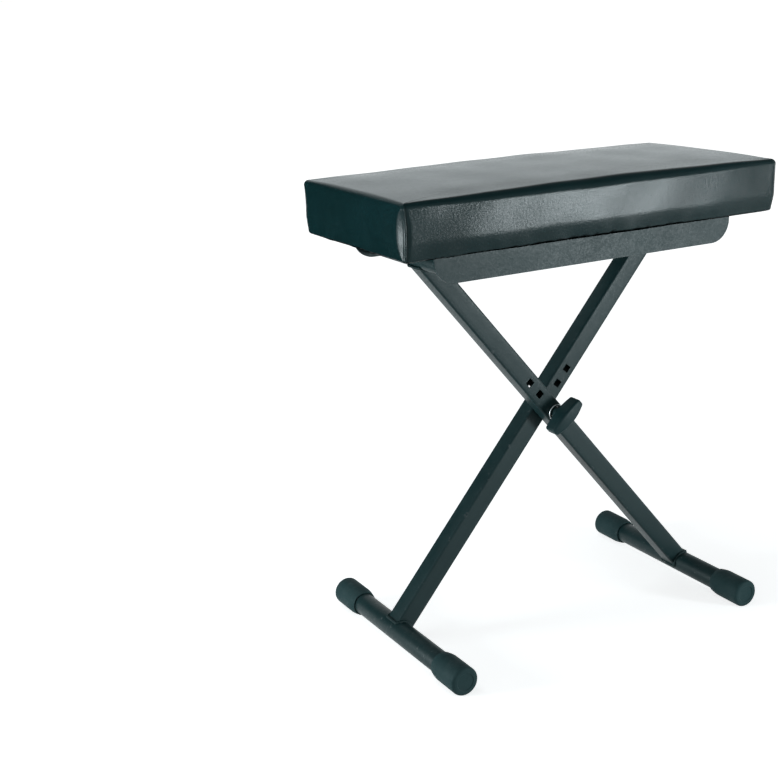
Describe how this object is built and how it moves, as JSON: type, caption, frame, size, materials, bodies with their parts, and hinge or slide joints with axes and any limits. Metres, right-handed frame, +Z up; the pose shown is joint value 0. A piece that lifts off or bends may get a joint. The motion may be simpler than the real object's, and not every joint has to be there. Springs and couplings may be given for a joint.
{
  "type": "folding keyboard bench",
  "caption": "Folding keyboard bench with a padded seat on crossed tube legs, held at one of several heights by a bolt and a hand knob.",
  "frame": {"origin": "on the floor, under the point where the legs cross and under the middle of the seat", "axes": "+Z up; X along the seat; -Y is the front, where the knob is"},
  "size_m": [0.535, 0.304, 0.5874],
  "materials": {
    "painted_steel": "satin black powder coat",
    "rubber": "matte black",
    "leatherette": "black leatherette with a fine grain and a soft sheen",
    "foam": "open-cell foam",
    "plywood": "raw plywood",
    "cloth": "black non-woven cloth",
    "nylon": "black nylon",
    "moulding": "black moulded plastic",
    "zinc": "zinc plated",
    "chrome": "polished",
    "brass": "turned"
  },
  "bodies": {
    "seat": {"seat_cover": "leatherette", "seat_foam": "foam", "seat_board": "plywood", "underside_cloth": "cloth", "front_rail": "painted_steel", "rear_rail": "painted_steel", "front_rail_screw_1": "zinc", "front_rail_screw_2": "zinc", "front_rail_screw_3": "zinc", "front_rail_screw_4": "zinc", "rear_rail_screw_1": "zinc", "rear_rail_screw_2": "zinc", "rear_rail_screw_3": "zinc", "rear_rail_screw_4": "zinc", "front_leg_front_pivot_pin": "zinc", "front_leg_rear_pivot_pin": "zinc"},
    "front_leg": {"front_leg_tube": "painted_steel", "front_leg_cross_tube": "painted_steel", "front_leg_foot_tube": "painted_steel", "front_leg_front_bush": "nylon", "front_leg_rear_bush": "nylon", "front_leg_front_foot_cap": "rubber", "front_leg_rear_foot_cap": "rubber"},
    "rear_leg": {"rear_leg_tube": "painted_steel", "rear_leg_cross_tube": "painted_steel", "rear_leg_foot_tube": "painted_steel", "rear_leg_front_bush": "nylon", "rear_leg_rear_bush": "nylon", "rear_leg_front_foot_cap": "rubber", "rear_leg_rear_foot_cap": "rubber", "rear_leg_front_pivot_pin": "zinc", "rear_leg_rear_pivot_pin": "zinc", "clamp_bolt": "zinc", "leg_spacer_washer": "nylon"},
    "clamp_washer": {"clamp_washer": "chrome"},
    "knob": {"knob_handle": "moulding", "knob_threaded_insert": "brass"}
  },
  "joints": [
    {"name": "leg_fold", "type": "hinge", "parent": "seat", "child": "front_leg", "pos_m": [-0.184, 0, 0.49695], "axis": [0, -1, 0], "range_deg": [0, 47]},
    {"name": "leg_crossing", "type": "hinge", "parent": "front_leg", "child": "rear_leg", "pos_m": [0, 0, 0.27799], "axis": [0, -1, 0], "range_deg": [-94, 0]},
    {"name": "washer_slide", "type": "slide", "parent": "rear_leg", "child": "clamp_washer", "axis": [0, -1, 0], "range_m": [0, 0.01]},
    {"name": "knob_turn", "type": "hinge", "parent": "clamp_washer", "child": "knob", "pos_m": [0, 0, 0.27799], "axis": [0, -1, 0], "range_deg": [0, 2880]}
  ],
  "couplings": [
    {"joint": "leg_crossing", "follows": "leg_fold", "ratio": -2},
    {"joint": "washer_slide", "follows": "knob_turn", "m_per_rad": 0.00019894}
  ]
}
